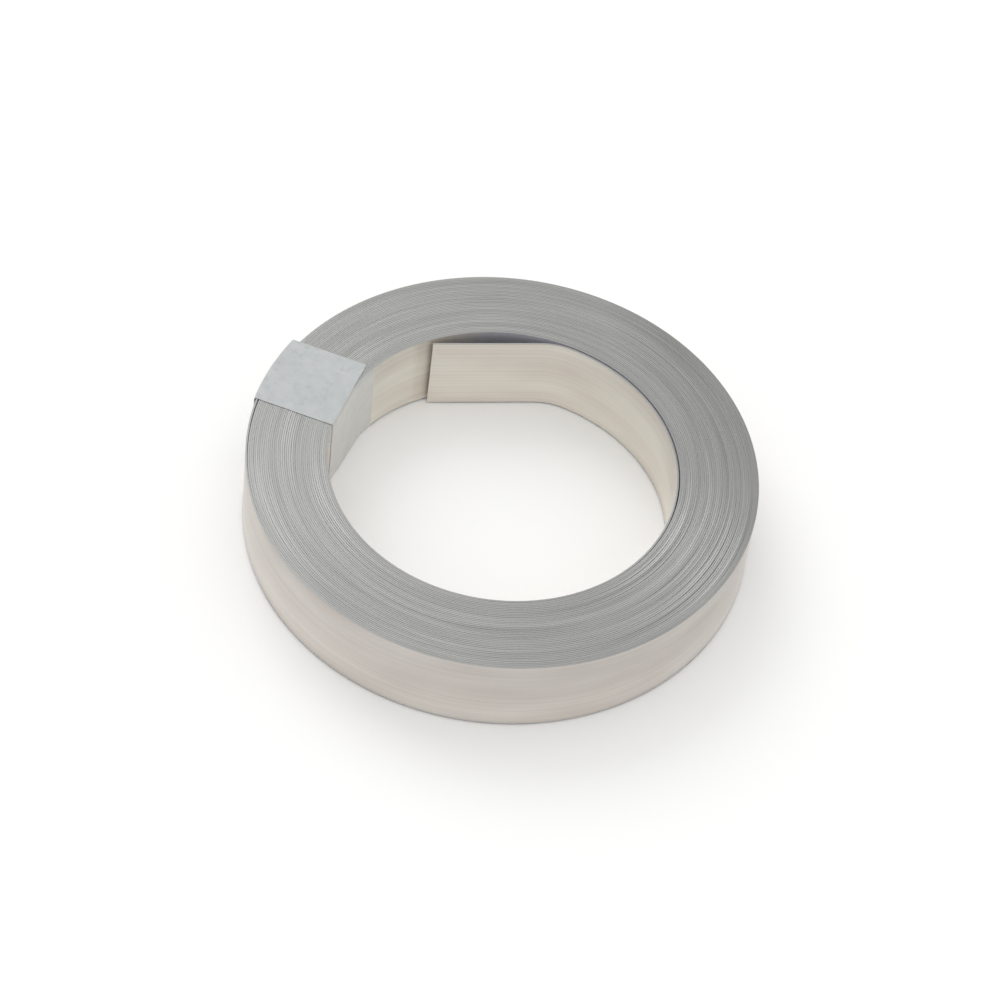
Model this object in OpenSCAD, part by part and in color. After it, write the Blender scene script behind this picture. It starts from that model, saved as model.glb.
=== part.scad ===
// Coil of nickel strip for joining battery cells, tied with one turn of paper tape.
// The coil lies flat: +Z is its winding axis, and the origin is on that axis, on the floor.
// Angles run from +X towards +Y, seen from above, and the strip winds outwards clockwise.

/* [Strip] */
// Width of the strip, which is the height of the coil
strip_w = 12; // [6:0.5:30]
// Thickness of the strip
strip_t = 0.27; // [0.2:0.01:0.5]
// How far the slitting knives round off each edge of the strip
edge_break = 0.05; // [0.02:0.01:0.09]

/* [Coil] */
// Radius of the eye, inside the full turns
eye_r = 23.6; // [20:0.1:40]
// Number of full turns
turns = 40; // [10:1:60]

/* [Inner end] */
// How far the flat inner end stands off the eye's wall at its middle
flat_sag = 1.7; // [1:0.1:3]
// Direction in which the flat inner end faces the wall
flat_angle = 101; // [80:1:120]
// Gap behind the innermost turn at the bend where its flat end starts
bend_gap = 0.1; // [0.05:0.05:0.3]
// Angle over which the innermost turn comes away from the wall before that bend
inner_run = 120; // [90:5:150]
// Gap between the sheared inner end and the wall
inner_end_gap = 0.3; // [0.1:0.05:0.6]

/* [Outer end] */
// Direction of the sheared outer end
outer_end_angle = 155; // [150:1:160]
// Gap behind the outer end, where it springs off the turn below it
outer_end_gap = 0.3; // [0.1:0.05:0.6]
// Angle over which the outermost turn comes away before its end
outer_run = 95; // [60:5:140]

/* [Tape] */
// Width of the tape
tape_w = 12; // [9:0.5:20]
// Thickness of the tape
tape_t = 0.15; // [0.08:0.01:0.3]
// Direction in which the tape runs out across the coil
tape_angle = 165.5; // [160:0.5:170]
// Sideways shift of the tape from the axis, towards the outer end of the strip
tape_shift = 2.3; // [0:0.1:3]
// Clearance left between the tape and the coil
tape_gap = 0.02; // [0.01:0.01:0.1]
// How far the tape's cut end reaches over the eye's edge
tape_lap = 0.33; // [0.1:0.01:0.6]
// How far the tape's first end stays below the top of the coil
tape_start_drop = 0.2; // [0.1:0.1:2]
// Direction of the stretch where the tape bridges the hollow wall of the eye
bridge_angle = 162.5; // [160:0.5:165]
// Angle of the eye's wall that the tape bridges
bridge_span = 24; // [12:1:30]

/* [Hidden] */
$fn = 180;

// The coil lies on the tape that passes under it
floor_lift = tape_t + tape_gap;
coil_r = eye_r + turns * strip_t;

// Inner end: an innermost turn off centre, then a bend, then a flat
bend_face_r = eye_r - strip_t - bend_gap;
inner_shift = (eye_r - bend_face_r) / (1 - cos(inner_run));
inner_face_r = bend_face_r + inner_shift;
flat_face_d = eye_r - strip_t - flat_sag;
bend_angle = flat_angle - acos(flat_face_d / bend_face_r);
flat_length = sqrt(pow(eye_r - inner_end_gap, 2) - pow(flat_face_d + strip_t, 2));

// Outer end: an outermost turn off centre
outer_end_r = coil_r + outer_end_gap + strip_t;
outer_shift = (outer_end_r - coil_r) / (1 - cos(outer_run));
outer_face_r = outer_end_r - outer_shift;

// How far each end's turn runs on inside the coil, so that it is one piece with it
root_run = 15;
// Reach of the wedges and half planes that cut the outlines
reach = 2 * coil_r;

// Wedge from the axis between two angles
module wedge(from, to) {
    polygon([[0, 0], for (step = [0 : 4]) let (a = from + (to - from) * step / 4) reach * [cos(a), sin(a)]]);
}

// Everything up to a straight line that faces the given direction
module half_plane(direction, distance) {
    rotate(direction) translate([-reach, -reach]) square([reach + distance, 2 * reach]);
}

// One turned solid, with the rounded edges of its turns as grooves on both ends
module wound_turns() {
    turn_r = [for (i = [0 : turns - 1]) eye_r + i * strip_t];
    lower = [for (r = turn_r) each [
        [r, edge_break], [r + edge_break, 0], [r + strip_t - edge_break, 0]]];
    upper = [for (r = turn_r) each [
        [r, strip_w - edge_break], [r + edge_break, strip_w], [r + strip_t - edge_break, strip_w]]];
    count = len(lower);
    rotate_extrude() polygon([
        each lower,
        [coil_r, edge_break],
        [coil_r, strip_w - edge_break],
        for (i = [count - 1 : -1 : 0]) upper[i]]);
}

// Outline of the eye up to the innermost turn, by how far it stands off that turn's inner face
module innermost_turn(off) {
    intersection() {
        translate(-inner_shift * [cos(bend_angle), sin(bend_angle)]) circle(r = inner_face_r + off);
        half_plane(flat_angle, flat_face_d + off);
    }
}

// The innermost turn leaves the wall, bends and runs on flat to its sheared end
module inner_end() {
    linear_extrude(strip_w) intersection() {
        difference() {
            innermost_turn(strip_t);
            innermost_turn(0);
        }
        wedge(bend_angle - inner_run - root_run, flat_angle + 90);
        half_plane(flat_angle + 90, flat_length);
    }
}

// Outline of the outermost turn, by how far it stands off that turn's outer face
module outermost_turn(off) {
    translate(outer_shift * [cos(outer_end_angle), sin(outer_end_angle)]) circle(r = outer_face_r + off);
}

// The outermost turn rises off the coil towards its sheared end
module outer_end() {
    linear_extrude(strip_w) intersection() {
        difference() {
            outermost_turn(0);
            outermost_turn(-strip_t);
        }
        wedge(outer_end_angle, outer_end_angle + outer_run + root_run);
    }
}

module nickel_strip() {
    color("#b7b3aa") translate([0, 0, floor_lift]) {
        wound_turns();
        inner_end();
        outer_end();
    }
}

// The straight band that the tape keeps to, seen from above
module tape_band() {
    rotate(tape_angle) translate([0, -tape_shift - tape_w / 2]) square([reach, tape_w]);
}

// Outline of the tape in the eye, which lies on the wall and then bridges it
module tape_inside(off) {
    wall_r = eye_r - tape_gap;
    intersection() {
        circle(r = wall_r - off);
        half_plane(bridge_angle, wall_r * cos(bridge_span / 2) - off);
    }
}

// The tape starts on the eye's wall, passes under and around the coil and ends on its top
module tape() {
    coil_top = floor_lift + strip_w;
    color("#c3cacb") {
        linear_extrude(coil_top - tape_start_drop) intersection() {
            tape_band();
            difference() {
                tape_inside(0);
                tape_inside(tape_t);
            }
        }
        linear_extrude(tape_t) intersection() {
            tape_band();
            difference() {
                outermost_turn(tape_gap + tape_t);
                tape_inside(tape_t);
            }
        }
        linear_extrude(coil_top + tape_gap + tape_t) intersection() {
            tape_band();
            difference() {
                outermost_turn(tape_gap + tape_t);
                outermost_turn(tape_gap);
            }
        }
        translate([0, 0, coil_top + tape_gap]) linear_extrude(tape_t) intersection() {
            tape_band();
            difference() {
                outermost_turn(tape_gap + tape_t);
                half_plane(tape_angle, eye_r - tape_lap);
            }
        }
    }
}

nickel_strip();
tape();
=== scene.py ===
import bisect
import math

import bpy
from mathutils import Matrix, Vector, noise


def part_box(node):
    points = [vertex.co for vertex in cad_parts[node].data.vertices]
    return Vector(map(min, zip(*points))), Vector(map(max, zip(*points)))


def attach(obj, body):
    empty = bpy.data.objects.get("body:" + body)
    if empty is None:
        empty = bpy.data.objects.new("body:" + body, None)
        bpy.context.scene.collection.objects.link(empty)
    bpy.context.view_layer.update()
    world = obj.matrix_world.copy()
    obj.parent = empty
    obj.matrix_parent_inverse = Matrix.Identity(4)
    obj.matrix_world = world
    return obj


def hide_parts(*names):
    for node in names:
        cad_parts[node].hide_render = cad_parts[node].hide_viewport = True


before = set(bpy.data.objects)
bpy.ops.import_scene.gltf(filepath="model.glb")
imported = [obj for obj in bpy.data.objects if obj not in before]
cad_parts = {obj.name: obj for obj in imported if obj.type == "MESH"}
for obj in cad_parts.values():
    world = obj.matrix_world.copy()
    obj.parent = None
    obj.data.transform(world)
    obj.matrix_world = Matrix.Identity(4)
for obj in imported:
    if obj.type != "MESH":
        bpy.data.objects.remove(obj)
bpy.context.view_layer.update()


# The strip: steel plated with nickel, rolled thin, slit to width and wound on itself into a flat coil.
# It is one length. Its inner end has sprung off the eye's wall as a flat, the turns lie on each other,
# and its outer end rises a little off the turn below it. The faces are satin, the slit edges are grey.
mm = 0.001
coil_low, coil_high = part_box("nickel_strip")
coil_radius = coil_high[0]
eye_radius = 23.5 * mm
strip_thickness = 0.257 * mm

# How far in from its slit edges the strip rolls over, the room that is left for the edges to wander, and
# the length of the short cells that it is made up of
edge_roll = 1.5 * mm
edge_room = 0.06 * mm
cell_length = 1.25 * mm

# Rounding of the slit edges, larger where the turns lie loose, so that their lines show
edge_rounding = 0.022 * mm
loose_edge_rounding = 0.07 * mm
corner_reach = 1.1 * edge_rounding

# How far the edges wander up and down, over what length, and the share of it where the turns lie tight
edge_wander = 0.4 * mm
wander_length = 70 * mm
tight_wander = 0.08

# Inner end: how far the flat stands from the axis, where it faces, how far it runs past its middle,
# the radius of the bend before it and the stretch over which the innermost turn comes off the wall
flat_distance = 21.35 * mm
flat_angle = math.radians(101)
flat_reach = 8.0 * mm
bend_radius = 8 * mm
bend_face_radius = 23.12 * mm
inner_run = math.radians(120)

# Outer end: where it is sheared, how far it stands off, the stretch over which it rises, and how many
# turns before it the winding has its full radius
outer_end_angle = math.radians(155)
outer_end_gap = 0.42 * mm
outer_run = math.radians(95)
full_radius_lead = 0.32

# The winding, from the bend to the outer end
bend_turn = math.acos((flat_distance - bend_radius) / (bend_face_radius - bend_radius))
bend_angle = flat_angle - bend_turn
full_turns = 40
steps_per_turn = 180
turn_step = math.tau / steps_per_turn
wound_steps = round(full_turns * steps_per_turn - (outer_end_angle - bend_angle) / turn_step)
wound_angle = wound_steps * turn_step
full_radius_turn = (wound_angle - inner_run) / math.tau - full_radius_lead
turn_pitch = (coil_radius - eye_radius - strip_thickness) / full_radius_turn

# Patches of the coil's ends where the turns lie loose: direction in degrees, radius, spread of both, and
# how loose they are. Elsewhere the turns lie tight, and no two gaps are alike.
tight_looseness = 0.15
gap_unevenness = 1.3
gap_changes_per_radian = 1.3
loose_patches = [
    (335, 31.8 * mm, 22, 1.8 * mm, 1.0),
    (335, 25.0 * mm, 22, 1.4 * mm, 1.0),
    (341, 28.5 * mm, 24, 1.8 * mm, 0.65),
    (183, 28.8 * mm, 14, 1.0 * mm, 0.3),
    (206, 32.0 * mm, 20, 1.5 * mm, 0.3),
    (210, 25.5 * mm, 18, 1.2 * mm, 0.5),
    (240, 28.0 * mm, 40, 5.0 * mm, 0.1),
    (143, 26.8 * mm, 8, 0.8 * mm, 0.2),
    (20, 28.0 * mm, 26, 1.0 * mm, 0.2),
    (25, 29.0 * mm, 40, 6.0 * mm, 0.15),
    (30, 25.0 * mm, 38, 1.4 * mm, 0.15),
]


def looseness(angle, radius):
    """How loose the turns lie at a place on the coil's ends, up to about 1."""
    total = 0.0
    for patch_angle, patch_radius, angle_spread, radius_spread, amount in loose_patches:
        turned = (math.degrees(angle) - patch_angle + 180) % 360 - 180
        off_middle = (turned / angle_spread) ** 2 + ((radius - patch_radius) / radius_spread) ** 2
        total += amount * math.exp(-off_middle)
    return total


def polar(radius, angle):
    return Vector((radius * math.cos(angle), radius * math.sin(angle), 0))


def even_radius(wound):
    """Radius of the strip's inner face after it has wound this far from the bend, with all gaps alike."""
    if wound < inner_run:
        shift = (eye_radius - bend_face_radius) / (1 - math.cos(inner_run))
        return bend_face_radius + shift * (1 - math.cos(wound))
    return eye_radius + turn_pitch * (wound - inner_run) / math.tau


def outer_lift(wound):
    """How far the outermost turn has risen off the one below it."""
    rise = max(0.0, 1 - (wound_angle - wound) / outer_run)
    return outer_end_gap * rise ** 5


def turn_radii():
    """Radius of the strip's inner face at each step. Each turn lies on the one below it, and the room
    between the turns in each direction is shared out by how loose they lie there."""
    radii = [even_radius(step * turn_step) for step in range(wound_steps + 1)]
    loose = []
    for step, radius in enumerate(radii):
        wound = step * turn_step
        uneven = math.exp(gap_unevenness * noise.noise((gap_changes_per_radian * wound, 0, 0)))
        loose.append(uneven * (tight_looseness + looseness(bend_angle - wound, radius)))
    first = round(inner_run / turn_step) + steps_per_turn
    for step in range(first, wound_steps + 1):
        same_way = loose[first + (step - first) % steps_per_turn::steps_per_turn]
        gap = (turn_pitch - strip_thickness) * loose[step] * len(same_way) / sum(same_way)
        radii[step] = radii[step - steps_per_turn] + strip_thickness + gap
    return [radius + outer_lift(step * turn_step) for step, radius in enumerate(radii)]


def winding_path():
    """Points along the strip's inner face, from its inner end to its outer end."""
    points = [polar(flat_distance, flat_angle) + polar(flat_reach, flat_angle + math.pi / 2)]
    bend_middle = polar(bend_face_radius - bend_radius, bend_angle)
    bend_steps = 12
    for step in range(bend_steps):
        turned = flat_angle - bend_turn * step / bend_steps
        points.append(bend_middle + polar(bend_radius, turned))
    for step, radius in enumerate(turn_radii()):
        points.append(polar(radius, bend_angle - step * turn_step))
    return points


def pick(mesh_object, mode, test):
    """Select the vertices, edges or faces of the object in edit mode that pass a test."""
    bpy.ops.mesh.select_mode(type=mode)
    bpy.ops.mesh.select_all(action="DESELECT")
    bpy.ops.object.mode_set(mode="OBJECT")
    mesh = mesh_object.data
    items = {"VERT": mesh.vertices, "EDGE": mesh.edges, "FACE": mesh.polygons}[mode]
    for item in items:
        item.select = test(item)
    bpy.ops.object.mode_set(mode="EDIT")


def apply_modifier(mesh_object, name, kind, **settings):
    modifier = mesh_object.modifiers.new(name, kind)
    for key, value in settings.items():
        setattr(modifier, key, value)
    bpy.ops.object.modifier_apply(modifier=name)


path = winding_path()
path_runs = [0.0]
for start, end in zip(path, path[1:]):
    path_runs.append(path_runs[-1] + (end - start).length)
path_length = path_runs[-1]
cell_count = round(path_length / cell_length)
cell_length = path_length / cell_count
strip_width = coil_high[2] - coil_low[2] - edge_room

# A short cell of the strip, open at both ends, with its four long edges rounded
bpy.ops.object.select_all(action="DESELECT")
bpy.ops.mesh.primitive_cube_add(size=1)
strip = bpy.context.object
strip.name = "wound_strip"
bpy.ops.object.mode_set(mode="EDIT")
bpy.ops.transform.resize(value=(cell_length, strip_thickness, strip_width))
middle_height = (coil_low[2] + coil_high[2]) / 2
bpy.ops.transform.translate(value=(cell_length / 2, strip_thickness / 2, middle_height))
pick(strip, "FACE", lambda face: abs(face.normal.x) > 0.9)
bpy.ops.mesh.delete(type="ONLY_FACE")


def runs_along(edge):
    ends = [strip.data.vertices[index].co for index in edge.vertices]
    return abs(ends[1].x - ends[0].x) > cell_length / 2


pick(strip, "EDGE", runs_along)
bpy.ops.mesh.bevel(offset=edge_rounding, segments=2)

# Slitting rolls the faces over a little near the edges, and their shading turns from these two lines on
for side in (-1, 1):
    bpy.ops.mesh.select_all(action="SELECT")
    bpy.ops.mesh.bisect(plane_co=(0, 0, middle_height + side * (strip_width / 2 - edge_roll)),
                        plane_no=(0, 0, 1))
bpy.ops.object.mode_set(mode="OBJECT")


def linear(hex_colour):
    """Linear colour of an sRGB hex value."""
    parts = [int(hex_colour[i:i + 2], 16) / 255 for i in (1, 3, 5)]
    return [c / 12.92 if c <= 0.04045 else ((c + 0.055) / 1.055) ** 2.4 for c in parts] + [1.0]


def add_node(material, kind, settings=None, links=None):
    """Add a node to a material, set its sockets and properties and link its inputs."""
    tree = material.node_tree
    node = tree.nodes.new(kind)
    for key, value in (settings or {}).items():
        if isinstance(key, int) or key in node.inputs:
            node.inputs[key].default_value = value
        else:
            setattr(node, key, value)
    for key, socket in (links or {}).items():
        tree.links.new(socket, node.inputs[key])
    return node


def new_material(name):
    material = bpy.data.materials.new(name)
    material.use_nodes = True
    return material, material.node_tree.nodes["Principled BSDF"]


# Satin nickel plating: warm white metal, rolled, so its sheen is drawn out along the strip in faint
# bands, wider than real roll marks so that they show. It is cloudy from being handled, rosier here and
# greyer there. From the eye out to the coil's outside it is painted darker: painted light on the eye's
# walls and painted shade on the outside wall. It is painted lighter towards the foot: painted light that
# stands in for the light of the floor it mirrors, which is shaded there. The covered faces between the
# turns are matt, and their grey is painted shade, the cool grey of the shadow in the gap behind the inner
# end.
plating, plating_shader = new_material("satin_nickel_plating")
plating_shader.inputs["Metallic"].default_value = 1.0
cloud_length, cloud_height = 16 * mm, 5 * mm
band_length, band_height = 60 * mm, 0.4 * mm
run = add_node(plating, "ShaderNodeAttribute", {"attribute_name": "run"})
place = add_node(plating, "ShaderNodeTexCoord")
height = add_node(plating, "ShaderNodeSeparateXYZ", None, {0: place.outputs["Object"]})
face_place = add_node(plating, "ShaderNodeCombineXYZ", None,
                      {"X": run.outputs["Fac"], "Y": height.outputs["Z"]})
cloud_place = add_node(plating, "ShaderNodeMapping", {"Scale": (1 / cloud_length, 1 / cloud_height, 1)},
                       {"Vector": face_place.outputs[0]})
clouds = add_node(plating, "ShaderNodeTexNoise", {"Scale": 1.0, "Detail": 1.0},
                  {"Vector": cloud_place.outputs[0]})
band_place = add_node(plating, "ShaderNodeMapping", {"Scale": (1 / band_length, 1 / band_height, 1)},
                      {"Vector": face_place.outputs[0]})
bands = add_node(plating, "ShaderNodeTexNoise", {"Scale": 1.0, "Detail": 2.0},
                 {"Vector": band_place.outputs[0]})
sheen = add_node(plating, "ShaderNodeMix", {"data_type": "FLOAT", 0: 0.45},
                 {2: clouds.outputs["Fac"], 3: bands.outputs["Fac"]})
cloud_share = add_node(plating, "ShaderNodeMapRange", {"From Min": 0.3, "From Max": 0.7},
                       {"Value": sheen.outputs[0]})
tone = add_node(plating, "ShaderNodeMix",
                {"data_type": "RGBA", 6: linear("#e4dbd2"), 7: linear("#faf7ed")},
                {0: cloud_share.outputs[0]})
# Painted shade: darker step by step from the inner end to the outer end, so the outside wall is darker than
# the eye's walls
outward_shade_share = add_node(plating, "ShaderNodeMapRange", {"From Max": path_length}, {"Value": run.outputs["Fac"]})
outward_shaded = add_node(plating, "ShaderNodeMix",
                  {"data_type": "RGBA", "blend_type": "MULTIPLY", 7: linear("#ecebee")},
                  {0: outward_shade_share.outputs[0], 6: tone.outputs[2]})
# Painted light: lighter towards the foot and darker towards the upper edge, for the floor's light that it
# mirrors
rise = add_node(plating, "ShaderNodeMapRange", {"From Min": coil_low[2], "From Max": coil_high[2]},
                {"Value": height.outputs["Z"]})
foot_painted_light = add_node(plating, "ShaderNodeMix",
                  {"data_type": "RGBA", "blend_type": "MULTIPLY", 7: linear("#e1e1e1")},
                  {0: rise.outputs[0], 6: outward_shaded.outputs[2]})
gloss = add_node(plating, "ShaderNodeMapRange", {"To Min": 0.3, "To Max": 0.4}, {"Value": sheen.outputs[0]})
covered = add_node(plating, "ShaderNodeAttribute", {"attribute_name": "covered"})
# Painted shade: where the faces are covered they turn grey, which shows as the shadow in the gap behind the
# inner end
gap_shade_share = add_node(plating, "ShaderNodeMapRange", {"From Min": 0.33}, {"Value": covered.outputs["Fac"]})
face_tone = add_node(plating, "ShaderNodeMix", {"data_type": "RGBA", 7: linear("#c8c8cd")},
                     {0: gap_shade_share.outputs[0], 6: foot_painted_light.outputs[2]})
matt_share = add_node(plating, "ShaderNodeMapRange", {"From Max": 0.1}, {"Value": covered.outputs["Fac"]})
face_gloss = add_node(plating, "ShaderNodeMix", {"data_type": "FLOAT", 3: 0.7},
                      {0: matt_share.outputs[0], 2: gloss.outputs[0]})
plating.node_tree.links.new(face_tone.outputs[2], plating_shader.inputs["Base Color"])
plating.node_tree.links.new(face_gloss.outputs[0], plating_shader.inputs["Roughness"])

# Slit steel edge: grey bare metal, sheared, so its grain is fine and each turn is a little lighter or
# darker than the next, most where the turns lie loose. There the wider spread is partly painted light and
# shade: its dark end is painted shade in the gaps between the turns, its light end painted glints on their
# edges. Single turns are too fine to show elsewhere, so groups of about two are given the same tone there.
# One side of the coil is painted a shade darker: painted shade, where less light falls on it.
slit_edge, slit_shader = new_material("slit_steel_edge")
slit_shader.inputs["Metallic"].default_value = 1.0
slit_shader.inputs["Roughness"].default_value = 0.4
turn_length, grain_length = 90 * mm, 7 * mm
group_width, group_length = 0.55 * mm, 16 * mm
dark_angle = math.radians(20)
dark_from, dark_to = 20 * mm, 29 * mm
run = add_node(slit_edge, "ShaderNodeAttribute", {"attribute_name": "run"})
turn_shade = add_node(slit_edge, "ShaderNodeTexNoise",
                      {"noise_dimensions": "1D", "Scale": 1 / turn_length, "Detail": 1.0},
                      {"W": run.outputs["Fac"]})
grain = add_node(slit_edge, "ShaderNodeTexNoise",
                 {"noise_dimensions": "1D", "Scale": 1 / grain_length, "Detail": 2.0},
                 {"W": run.outputs["Fac"]})
place = add_node(slit_edge, "ShaderNodeTexCoord")
flat_place = add_node(slit_edge, "ShaderNodeVectorMath", {"operation": "MULTIPLY", 1: (1, 1, 0)},
                      {0: place.outputs["Object"]})
radius = add_node(slit_edge, "ShaderNodeVectorMath", {"operation": "LENGTH"},
                  {0: flat_place.outputs[0]})
sides = add_node(slit_edge, "ShaderNodeSeparateXYZ", None, {0: flat_place.outputs[0]})
group_place = add_node(slit_edge, "ShaderNodeCombineXYZ", None,
                       {"X": sides.outputs["X"], "Y": sides.outputs["Y"], "Z": radius.outputs["Value"]})
group_scale = add_node(slit_edge, "ShaderNodeMapping",
                       {"Scale": (1 / group_length, 1 / group_length, 1 / group_width)},
                       {"Vector": group_place.outputs[0]})
group_shade = add_node(slit_edge, "ShaderNodeTexNoise", {"Scale": 1.0, "Detail": 1.0},
                       {"Vector": group_scale.outputs[0]})
each_shade = add_node(slit_edge, "ShaderNodeMix", {"data_type": "FLOAT", 0: 0.12},
                      {2: turn_shade.outputs["Fac"], 3: grain.outputs["Fac"]})
loose_share = add_node(slit_edge, "ShaderNodeAttribute", {"attribute_name": "looseness"})
group_share = add_node(slit_edge, "ShaderNodeMapRange", {"From Max": 0.7, "To Min": 0.65, "To Max": 0.25},
                       {"Value": loose_share.outputs["Fac"]})
shade = add_node(slit_edge, "ShaderNodeMix", {"data_type": "FLOAT"},
                 {0: group_share.outputs[0], 2: each_shade.outputs[0], 3: group_shade.outputs["Fac"]})
tight_tone = add_node(slit_edge, "ShaderNodeMix",
                      {"data_type": "RGBA", 6: linear("#848482"), 7: linear("#acacaa")},
                      {0: shade.outputs[0]})
# Partly painted light and shade: the loose turns' wide spread stands in for shade in their gaps and glints
# on their edges
loose_tone_and_painted_light = add_node(slit_edge, "ShaderNodeMix",
                      {"data_type": "RGBA", 6: linear("#5e5e5e"), 7: linear("#e8e8e6")},
                      {0: shade.outputs[0]})
tone = add_node(slit_edge, "ShaderNodeMix", {"data_type": "RGBA"},
                {0: loose_share.outputs["Fac"], 6: tight_tone.outputs[2], 7: loose_tone_and_painted_light.outputs[2]})
# Painted shade: the edges on one side of the coil are darker, where less light falls on them
painted_shade_side = add_node(slit_edge, "ShaderNodeVectorMath",
                     {"operation": "DOT_PRODUCT", 1: (math.cos(dark_angle), math.sin(dark_angle), 0)},
                     {0: place.outputs["Object"]})
painted_shade_share = add_node(slit_edge, "ShaderNodeMapRange", {"From Min": dark_from, "From Max": dark_to},
                      {"Value": painted_shade_side.outputs["Value"]})
painted_shade_tone = add_node(slit_edge, "ShaderNodeMix",
                    {"data_type": "RGBA", "blend_type": "MULTIPLY", 7: linear("#eaeaea")},
                    {0: painted_shade_share.outputs[0], 6: tone.outputs[2]})
slit_edge.node_tree.links.new(painted_shade_tone.outputs[2], slit_shader.inputs["Base Color"])

# The faces are plated, and the edges with their rounding are bare
strip.data.materials.append(plating)
strip.data.materials.append(slit_edge)
for face in strip.data.polygons:
    face.material_index = 1 if abs(face.normal.z) > 0.2 else 0

# The cells joined into the whole length
apply_modifier(strip, "length", "ARRAY", count=cell_count, use_relative_offset=False,
               use_constant_offset=True, constant_offset_displace=(cell_length, 0, 0),
               use_merge_vertices=True, merge_threshold=cell_length / 100)
run_values = [vertex.co.x for vertex in strip.data.vertices]
strip.data.attributes.new("run", "FLOAT", "POINT").data.foreach_set("value", run_values)

# Its inner face is open for the first turn and its outer face for the last. The rest is covered, more
# and more behind the sheared inner end.
first_turn, last_turn = math.tau * eye_radius, path_length - math.tau * coil_radius
open_margin, cover_length = 4 * mm, 12 * mm


def covered_share(place):
    """How far a place on the strip's faces is covered by the next turn, from 0 to 1."""
    on_outer_face = place.y > strip_thickness / 2
    covered_from = 0 if on_outer_face else first_turn
    if on_outer_face and place.x > last_turn:
        return 0.0
    return min(max((place.x - covered_from + open_margin) / cover_length, 0.0), 1.0)


covered_values = [covered_share(vertex.co) for vertex in strip.data.vertices]
strip.data.attributes.new("covered", "FLOAT", "POINT").data.foreach_set("value", covered_values)

# Where the turns lie loose, their edges show rounder and wander up and down a little
loose = strip.vertex_groups.new(name="loose")
cell_vertices = [[] for cell in range(cell_count + 1)]
for vertex in strip.data.vertices:
    cell_vertices[round(vertex.co.x / cell_length)].append(vertex.index)
loose_values = [0.0] * len(strip.data.vertices)
for cell, indices in enumerate(cell_vertices):
    point = path[min(bisect.bisect_left(path_runs, cell * cell_length), len(path) - 1)]
    loose_here = min(looseness(math.atan2(point.y, point.x), point.length), 1.0)
    loose.add(indices, tight_wander + (1 - tight_wander) * loose_here, "REPLACE")
    for index in indices:
        loose_values[index] = loose_here
        place = strip.data.vertices[index].co
        edge_face = 0 if place.y < strip_thickness / 2 else strip_thickness
        edge_height = middle_height + math.copysign(strip_width / 2, place.z - middle_height)
        corner = Vector((place.x, edge_face, edge_height))
        if (place - corner).length < corner_reach:
            place += (place - corner) * loose_here ** 2 * (loose_edge_rounding / edge_rounding - 1)
strip.data.attributes.new("looseness", "FLOAT", "POINT").data.foreach_set("value", loose_values)
wander = bpy.data.textures.new("edge_wander", "CLOUDS")
wander.noise_scale = wander_length
wander.noise_depth = 1
apply_modifier(strip, "wander", "DISPLACE", texture=wander, direction="Z", strength=edge_wander,
               mid_level=0.5, vertex_group="loose")

# Its two ends sheared square, fresh cuts that are as bright as the faces
bpy.ops.object.mode_set(mode="EDIT")
for end in (0.0, path_length):
    pick(strip, "EDGE", lambda edge: all(
        abs(strip.data.vertices[index].co.x - end) < cell_length / 10 for index in edge.vertices))
    bpy.ops.mesh.edge_face_add()
bpy.ops.object.mode_set(mode="OBJECT")
for face in strip.data.polygons:
    if len(face.vertices) > 4:
        face.material_index = 0

# The length wound up along its path
winding = bpy.data.curves.new("winding", "CURVE")
winding.dimensions = "2D"
spline = winding.splines.new("POLY")
spline.points.add(len(path) - 1)
for point, place in zip(spline.points, path):
    point.co = (*place, 1)
winding_guide = bpy.data.objects.new("winding", winding)
bpy.context.collection.objects.link(winding_guide)
apply_modifier(strip, "winding", "CURVE", object=winding_guide, deform_axis="POS_X")
bpy.data.objects.remove(winding_guide)

# The faces are shaded as round, and the flats of the slit edges as flat
bpy.ops.object.shade_smooth_by_angle(angle=math.radians(25))
for face in strip.data.polygons:
    if abs(face.normal.z) > 0.98:
        face.use_smooth = False

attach(strip, "root")
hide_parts("nickel_strip")


# The tape: a length of pale paper tape, wrapped once around the section of the coil by hand.
# It starts on the eye's wall, which it partly bridges, passes under the coil and up its outside,
# and its square cut end is pressed down on the top of the coil, just over the edge of the eye.
tape_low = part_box("tape")[0]
tape_angle = math.radians(165.5)
tape_width = 12 * mm
tape_shift = 2.3 * mm
tape_thickness = 0.09 * mm
tape_gap = 0.02 * mm
fold_radius = 0.3 * mm
bridge_angle = math.radians(162.5)
bridge_span = math.radians(24)
cut_end_distance = 23.27 * mm
cut_end_droop = 0.1 * mm
start_drop = 0.04 * mm
lean_height = 4 * mm
rim_standoff = 0.2 * mm
top_settle = 0.03 * mm
sheet_off = tape_gap + tape_thickness / 2
hollow_radius = 23.6 * mm
wall_radius = hollow_radius - sheet_off
bridge_distance = wall_radius * math.cos(bridge_span / 2)


def rim_distance(across):
    """How far out the tape lies on the coil's outside, by its place across the tape."""
    out = coil_radius
    for step in range(4):
        passed = outer_end_angle - tape_angle - math.atan2(across, out)
        wound = wound_angle + passed
        radius = even_radius(wound) + outer_lift(wound) + strip_thickness + sheet_off + rim_standoff
        out = math.sqrt(radius ** 2 - across ** 2)
    return out


def wall_distance(across, height):
    """How far out the tape lies in the eye: it bridges the hollow wall and leans out to its cut end."""
    turn = bridge_angle - tape_angle
    on_wall = math.sqrt(wall_radius ** 2 - across ** 2)
    on_bridge = min(on_wall, (bridge_distance - across * math.sin(turn)) / math.cos(turn))
    at_cut_end = max(on_bridge, min(on_wall, cut_end_distance + tape_thickness))
    lean = min(max(1 - (coil_high[2] - height) / lean_height, 0.0), 1.0)
    return on_bridge + lean ** 2 * (at_cut_end - on_bridge)


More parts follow.
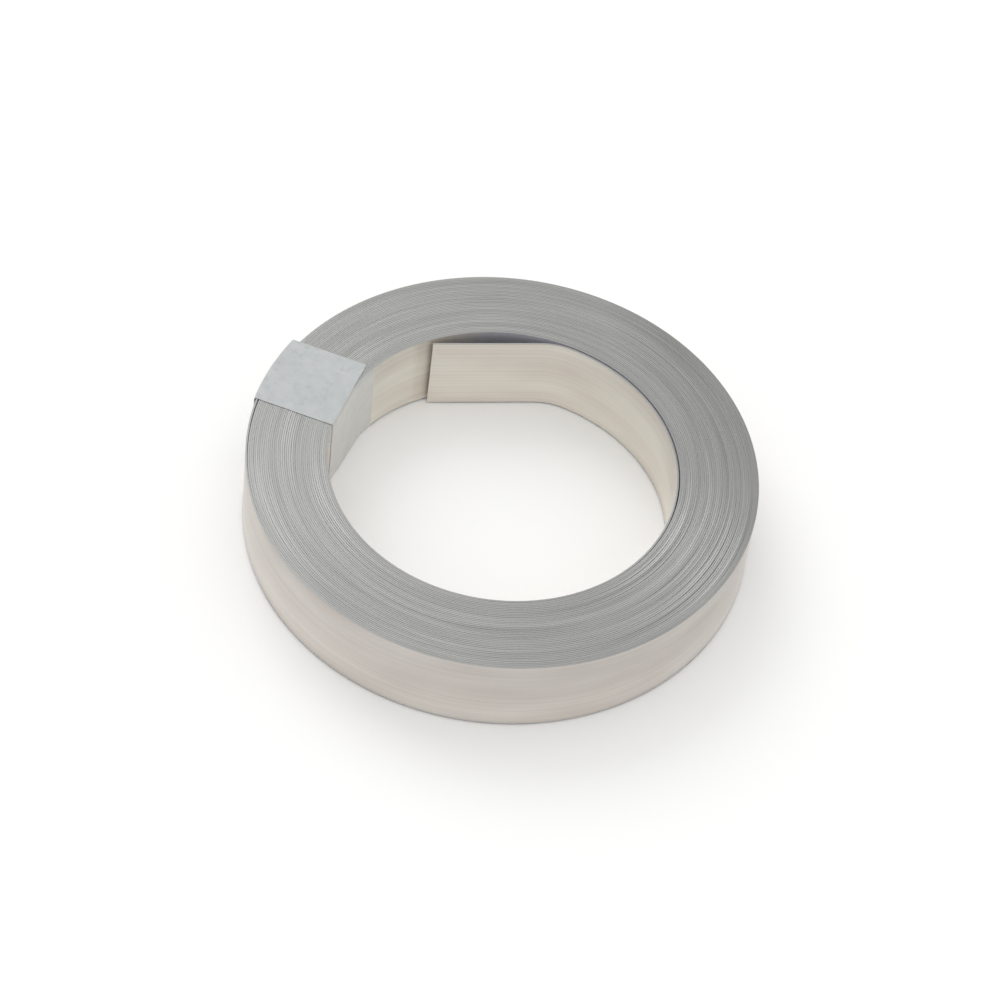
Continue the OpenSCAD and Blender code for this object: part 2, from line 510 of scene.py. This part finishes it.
low_edge = -tape_shift - tape_width / 2
eye_side = wall_distance(-tape_shift, 0)
rim_side = rim_distance(-tape_shift)
under = tape_low[2] + tape_thickness / 2
over = coil_high[2] - top_settle + tape_thickness / 2

# The tape's line around the section, drawn corner by corner, with rounded folds
bpy.ops.object.select_all(action="DESELECT")
bpy.ops.mesh.primitive_plane_add(size=2 * mm)
tape = bpy.context.object
tape.name = "paper_tape"
bpy.ops.object.mode_set(mode="EDIT")
pick(tape, "VERT", lambda vertex: vertex.index > 0)
bpy.ops.mesh.delete(type="VERT")
bpy.ops.mesh.select_all(action="SELECT")
start = Vector((eye_side, low_edge, coil_high[2] - start_drop))
bpy.ops.object.mode_set(mode="OBJECT")
tape.data.vertices[0].co = start
bpy.ops.object.mode_set(mode="EDIT")
corners = [(eye_side, under), (rim_side, under), (rim_side, over), (cut_end_distance, over)]
here = (start.x, start.z)
for corner in corners:
    bpy.ops.mesh.extrude_region_move(
        TRANSFORM_OT_translate={"value": (corner[0] - here[0], 0, corner[1] - here[1])})
    here = corner
fold_tolerance = 0.01 * mm


def is_fold(vertex):
    return any((vertex.co - Vector((x, low_edge, z))).length < fold_tolerance for x, z in corners[:3])


pick(tape, "VERT", is_fold)
bpy.ops.mesh.bevel(offset=fold_radius, segments=4, affect="VERTICES")

# The line drawn out to the tape's width. Edges longer than a fold's steps are cut up, so that they can bend.
shortest_leg = 2 * mm
leg_cuts = 40


def is_long(edge):
    ends = [tape.data.vertices[index].co for index in edge.vertices]
    return (ends[1] - ends[0]).length > shortest_leg


pick(tape, "EDGE", is_long)
bpy.ops.mesh.subdivide(number_cuts=leg_cuts)
bpy.ops.mesh.select_all(action="SELECT")
bpy.ops.mesh.extrude_region_move(TRANSFORM_OT_translate={"value": (0, tape_width, 0)})
pick(tape, "EDGE", is_long)
bpy.ops.mesh.subdivide(number_cuts=leg_cuts)
bpy.ops.mesh.select_all(action="SELECT")
bpy.ops.mesh.normals_make_consistent(inside=False)
bpy.ops.object.mode_set(mode="OBJECT")

# The folds follow the round rim and the eye's wall across the tape's width, its cut end dips over the
# eye's edge, and its cut edges aren't quite straight
section_middle = (eye_side + rim_side) / 2
top_layer = 0.05 * mm
droop_length = 0.3 * mm
edge_fray = 0.05 * mm
end_fray_length, side_fray_length = 1.2 * mm, 1.5 * mm
frayed_stretch = 1 * mm
for vertex in tape.data.vertices:
    place = vertex.co
    around = place.x + place.z
    across = place.y
    if place.x > section_middle:
        share = (place.x - section_middle) / (rim_side - section_middle)
        place.x += share * (rim_distance(across) - rim_side)
    elif place.z < over - top_layer:
        share = (section_middle - place.x) / (section_middle - eye_side)
        place.x += share * (wall_distance(across, place.z) - eye_side)
    else:
        beyond = math.sqrt(eye_radius ** 2 - across ** 2) - place.x
        place.z -= cut_end_droop * min(max(beyond / droop_length, 0.0), 1.0)
        near_end = max(0.0, 1 - (place.x - cut_end_distance) / frayed_stretch)
        place.x += edge_fray * near_end * noise.noise((across / end_fray_length, 0, 5.5))
    beside = (across - low_edge) / tape_width * 2 - 1
    place.y += edge_fray * beside ** 4 * noise.noise((around / side_fray_length, round(beside), 2.5))

apply_modifier(tape, "thickness", "SOLIDIFY", thickness=tape_thickness, offset=0.0,
               material_offset_rim=1)
tape.rotation_euler.z = tape_angle
bpy.ops.object.transform_apply(location=False, rotation=True, scale=False)
bpy.ops.object.shade_smooth_by_angle(angle=math.radians(40))

# Where it lies on the eye's wall, closest a little below the top
# This share carries the tape's painted light on the eye's wall
wall_fade = 1.5 * mm
share_at_top = 0.4
wall_reach = hollow_radius + 0.05 * mm
wall_top = coil_high[2] - 0.02 * mm


def wall_share_at(place):
    """How close a place on the tape lies to the eye's wall, from 0 off it to 1 flat on it."""
    if place.xy.length > wall_reach or place.z > wall_top:
        return 0.0
    return min(share_at_top + (coil_high[2] - place.z) / wall_fade, 1.0)


on_wall = [wall_share_at(vertex.co) for vertex in tape.data.vertices]
tape.data.attributes.new("on_wall", "FLOAT", "POINT").data.foreach_set("value", on_wall)

# Paper tape: matt, thin, pale grey with a touch of blue, softly mottled by its fibres, which are drawn
# coarser than real ones so that they show. On the eye's wall it is painted lighter and warmer: painted
# light, in place of the bright warm metal's light showing through it.
paper, paper_shader = new_material("pale_paper_tape")
paper_shader.inputs["Roughness"].default_value = 0.8
mottle_size, fleck_size, fibre_size = 1.6 * mm, 0.9 * mm, 0.25 * mm
pit_depth = 0.03 * mm
place = add_node(paper, "ShaderNodeTexCoord")
mottle = add_node(paper, "ShaderNodeTexNoise", {"Scale": 1 / mottle_size, "Detail": 3.0},
                  {"Vector": place.outputs["Object"]})
flecks = add_node(paper, "ShaderNodeTexNoise", {"Scale": 1 / fleck_size, "Detail": 1.0},
                  {"Vector": place.outputs["Object"]})
fibres = add_node(paper, "ShaderNodeTexNoise", {"Scale": 1 / fibre_size, "Detail": 2.0},
                  {"Vector": place.outputs["Object"]})
tone = add_node(paper, "ShaderNodeMix", {"data_type": "RGBA", 6: linear("#a8abac"), 7: linear("#c0c3c2")},
                {0: mottle.outputs["Fac"]})
fleck_share = add_node(paper, "ShaderNodeMapRange", {"From Min": 0.58, "From Max": 0.72, "To Max": 0.4},
                       {"Value": flecks.outputs["Fac"]})
flecked = add_node(paper, "ShaderNodeMix", {"data_type": "RGBA", 7: linear("#a2a6a6")},
                   {0: fleck_share.outputs[0], 6: tone.outputs[2]})
# Painted light: where the tape lies on the eye's wall it is lighter and warmer, for the metal's light
# showing through it
painted_wall_light_tone = add_node(paper, "ShaderNodeMix",
                     {"data_type": "RGBA", 6: linear("#cac9c5"), 7: linear("#dad9d5")},
                     {0: mottle.outputs["Fac"]})
wall_share = add_node(paper, "ShaderNodeAttribute", {"attribute_name": "on_wall"})
paper_tone = add_node(paper, "ShaderNodeMix", {"data_type": "RGBA"},
                      {0: wall_share.outputs["Fac"], 6: flecked.outputs[2], 7: painted_wall_light_tone.outputs[2]})
pits = add_node(paper, "ShaderNodeBump", {"Strength": 0.25, "Distance": pit_depth},
                {"Height": fibres.outputs["Fac"]})
paper.node_tree.links.new(paper_tone.outputs[2], paper_shader.inputs["Base Color"])
paper.node_tree.links.new(pits.outputs[0], paper_shader.inputs["Normal"])

# Cut paper edge: whiter than the faces, so the cut edges show as thin light lines
cut_paper, cut_shader = new_material("cut_paper_edge")
cut_shader.inputs["Roughness"].default_value = 0.9
edge_mottle = add_node(cut_paper, "ShaderNodeTexNoise", {"Scale": 1 / fibre_size, "Detail": 2.0},
                {"Vector": add_node(cut_paper, "ShaderNodeTexCoord").outputs["Object"]})
tone = add_node(cut_paper, "ShaderNodeMix",
                {"data_type": "RGBA", 6: linear("#c4c7c6"), 7: linear("#e0e2e1")},
                {0: edge_mottle.outputs["Fac"]})
cut_paper.node_tree.links.new(tone.outputs[2], cut_shader.inputs["Base Color"])
tape.data.materials.append(paper)
tape.data.materials.append(cut_paper)

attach(tape, "root")
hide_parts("tape")


# The place: a plain white floor under soft light from all round, seen from the photograph's side and
# height. One softbox stands behind it, to the left, and one hangs above it.
floor_size = 4.0
bpy.ops.object.select_all(action="DESELECT")
bpy.ops.mesh.primitive_plane_add(size=floor_size)
floor = bpy.context.object
floor.name = "floor"
floor_white, floor_shader = new_material("white_floor")
floor_shader.inputs["Base Color"].default_value = linear("#f8f8f7")
floor_shader.inputs["Roughness"].default_value = 0.8
floor.data.materials.append(floor_white)

scene = bpy.context.scene
scene.view_settings.view_transform = "Standard"
world = bpy.data.worlds.new("studio")
scene.world = world
world.use_nodes = True
world.node_tree.nodes["Background"].inputs["Color"].default_value = (1, 1, 1, 1)
world.node_tree.nodes["Background"].inputs["Strength"].default_value = 0.9

# The softboxes: name, place and size in metres, and power in watts
for name, location, size, power in [("softbox_behind", (-0.42, 0.55, 0.62), 0.6, 2.2),
                                    ("softbox_above", (0, 0, 1.0), 0.8, 0.9)]:
    bpy.ops.object.light_add(type="AREA", location=location)
    softbox = bpy.context.object
    softbox.name = name
    softbox.data.size = size
    softbox.data.energy = power
    softbox.rotation_euler = (-Vector(location)).to_track_quat("-Z", "Y").to_euler()

# Camera: the distance, height, lens and roll at which the coil's four rims fall on the photograph's
camera_distance = 423.9 * mm
camera_elevation = math.radians(49.52)
camera_roll = math.radians(8.04)
camera_pitch = math.radians(0.166)
camera_yaw = math.radians(-0.021)
camera_lens = 113.04
aim = Vector((0, 0, middle_height))
bpy.ops.object.camera_add()
camera = bpy.context.object
away = Vector((0, -math.cos(camera_elevation), math.sin(camera_elevation)))
camera.location = aim + camera_distance * away
turn = (Matrix.Rotation(math.pi / 2 - camera_elevation, 3, "X") @ Matrix.Rotation(camera_yaw, 3, "Y")
        @ Matrix.Rotation(-camera_pitch, 3, "X") @ Matrix.Rotation(camera_roll, 3, "Z"))
camera.rotation_euler = turn.to_euler()
camera.data.lens = camera_lens
camera.data.sensor_width = 36
camera.data.clip_start = 0.01
scene.camera = camera
